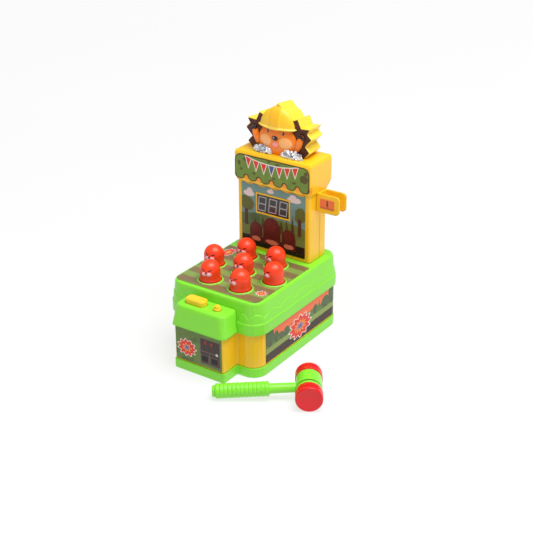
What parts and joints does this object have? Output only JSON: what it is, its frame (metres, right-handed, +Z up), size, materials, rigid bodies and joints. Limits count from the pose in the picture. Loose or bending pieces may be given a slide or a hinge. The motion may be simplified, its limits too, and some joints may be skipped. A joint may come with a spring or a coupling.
{
  "type": "mole pounding game",
  "caption": "Table-top reaction game: a moulded cabinet of spring-loaded moles with a control console, a score tower under a scalloped awning, a crown and a loose mallet",
  "frame": {"origin": "on the table, under the middle of the cabinet's base (body and console together)", "axes": "+Z up, -Y towards the player and the console, +X to the player's right, where the mallet clip is"},
  "size_m": [0.2162, 0.2322, 0.271],
  "materials": {
    "green_plastic": "moulded, glossy bright green",
    "yellow_plastic": "moulded, glossy warm yellow",
    "mole_plastic": "moulded, high gloss orange-red",
    "orange_plastic": "moulded, glossy orange",
    "mallet_red_plastic": "moulded, glossy red",
    "natural_plastic": "moulded, undyed",
    "circuit_board": "glass-fibre laminate with solder mask",
    "spring_steel": "drawn wire",
    "zinc_plated_steel": "bright zinc plate",
    "speaker_metal": "black basket and magnet",
    "cell_jacket": "printed foil jacket",
    "green_label": "printed adhesive film, satin",
    "orange_label": "printed adhesive film, satin",
    "blue_label": "printed adhesive film, satin",
    "brown_label": "printed card under film",
    "smoked_window": "tinted clear moulding",
    "silver_plastic": "moulded, metallised silver"
  },
  "bodies": {
    "cabinet": {"base_plate": "green_plastic", "battery_door": "green_plastic", "top_housing": "green_plastic", "console_cap": "green_plastic", "lower_body": "yellow_plastic", "tower_front": "yellow_plastic", "tower_rear": "yellow_plastic", "awning_hood": "yellow_plastic", "mallet_clip": "yellow_plastic", "crown_shell": "yellow_plastic", "crown_helmet": "yellow_plastic", "crown_mole": "orange_plastic", "mole_frame": "natural_plastic", "mole_board": "circuit_board", "console_board": "circuit_board", "display_module": "circuit_board", "mole_spring_1": "spring_steel", "mole_spring_2": "spring_steel", "mole_spring_3": "spring_steel", "mole_spring_4": "spring_steel", "mole_spring_5": "spring_steel", "mole_spring_6": "spring_steel", "mole_spring_7": "spring_steel", "start_button_spring": "spring_steel", "battery_door_screw": "zinc_plated_steel", "base_screw_1": "zinc_plated_steel", "base_screw_2": "zinc_plated_steel", "base_screw_3": "zinc_plated_steel", "base_screw_4": "zinc_plated_steel", "tower_screw_1": "zinc_plated_steel", "tower_screw_2": "zinc_plated_steel", "speaker": "speaker_metal", "battery_cell_1": "cell_jacket", "battery_cell_2": "cell_jacket", "battery_cell_3": "cell_jacket", "deck_label": "green_label", "console_label": "green_label", "awning_label": "green_label", "side_label_left": "orange_label", "side_label_right": "orange_label", "clip_label": "orange_label", "screen_label": "blue_label", "crown_backing": "brown_label", "display_window": "smoked_window", "crown_gravel_left": "silver_plastic", "crown_gravel_right": "silver_plastic"},
    "plunger_1": {"mole_1": "mole_plastic"},
    "plunger_2": {"mole_2": "mole_plastic"},
    "plunger_3": {"mole_3": "mole_plastic"},
    "plunger_4": {"mole_4": "mole_plastic"},
    "plunger_5": {"mole_5": "mole_plastic"},
    "plunger_6": {"mole_6": "mole_plastic"},
    "plunger_7": {"mole_7": "mole_plastic"},
    "start_key": {"start_button": "yellow_plastic"},
    "select_key": {"select_button": "yellow_plastic"},
    "mallet": {"mallet_handle": "green_plastic", "mallet_head": "green_plastic", "mallet_face_front": "mallet_red_plastic", "mallet_face_rear": "mallet_red_plastic"}
  },
  "joints": [
    {"name": "mole_1_press", "type": "slide", "parent": "cabinet", "child": "plunger_1", "axis": [0, 0, -1], "range_m": [0, 0.008], "stiffness_N_per_m": 150, "springref_m": -0.004, "deforming": ["mole_spring_1"]},
    {"name": "mole_2_press", "type": "slide", "parent": "cabinet", "child": "plunger_2", "axis": [0, 0, -1], "range_m": [0, 0.008], "stiffness_N_per_m": 150, "springref_m": -0.004, "deforming": ["mole_spring_2"]},
    {"name": "mole_3_press", "type": "slide", "parent": "cabinet", "child": "plunger_3", "axis": [0, 0, -1], "range_m": [0, 0.008], "stiffness_N_per_m": 150, "springref_m": -0.004, "deforming": ["mole_spring_3"]},
    {"name": "mole_4_press", "type": "slide", "parent": "cabinet", "child": "plunger_4", "axis": [0, 0, -1], "range_m": [0, 0.008], "stiffness_N_per_m": 150, "springref_m": -0.004, "deforming": ["mole_spring_4"]},
    {"name": "mole_5_press", "type": "slide", "parent": "cabinet", "child": "plunger_5", "axis": [0, 0, -1], "range_m": [0, 0.008], "stiffness_N_per_m": 150, "springref_m": -0.004, "deforming": ["mole_spring_5"]},
    {"name": "mole_6_press", "type": "slide", "parent": "cabinet", "child": "plunger_6", "axis": [0, 0, -1], "range_m": [0, 0.008], "stiffness_N_per_m": 150, "springref_m": -0.004, "deforming": ["mole_spring_6"]},
    {"name": "mole_7_press", "type": "slide", "parent": "cabinet", "child": "plunger_7", "axis": [0, 0, -1], "range_m": [0, 0.008], "stiffness_N_per_m": 150, "springref_m": -0.004, "deforming": ["mole_spring_7"]},
    {"name": "start_press", "type": "slide", "parent": "cabinet", "child": "start_key", "axis": [0, 0, -1], "range_m": [0, 0.0025], "stiffness_N_per_m": 300, "springref_m": -0.002, "deforming": ["start_button_spring"]},
    {"name": "select_press", "type": "slide", "parent": "cabinet", "child": "select_key", "axis": [0, 0, -1], "range_m": [0, 0.0015], "stiffness_N_per_m": 300, "springref_m": -0.002},
    {"name": "mallet_lift", "type": "slide", "parent": "cabinet", "child": "mallet", "axis": [0, 0, 1], "range_m": [0, 0.12]}
  ]
}
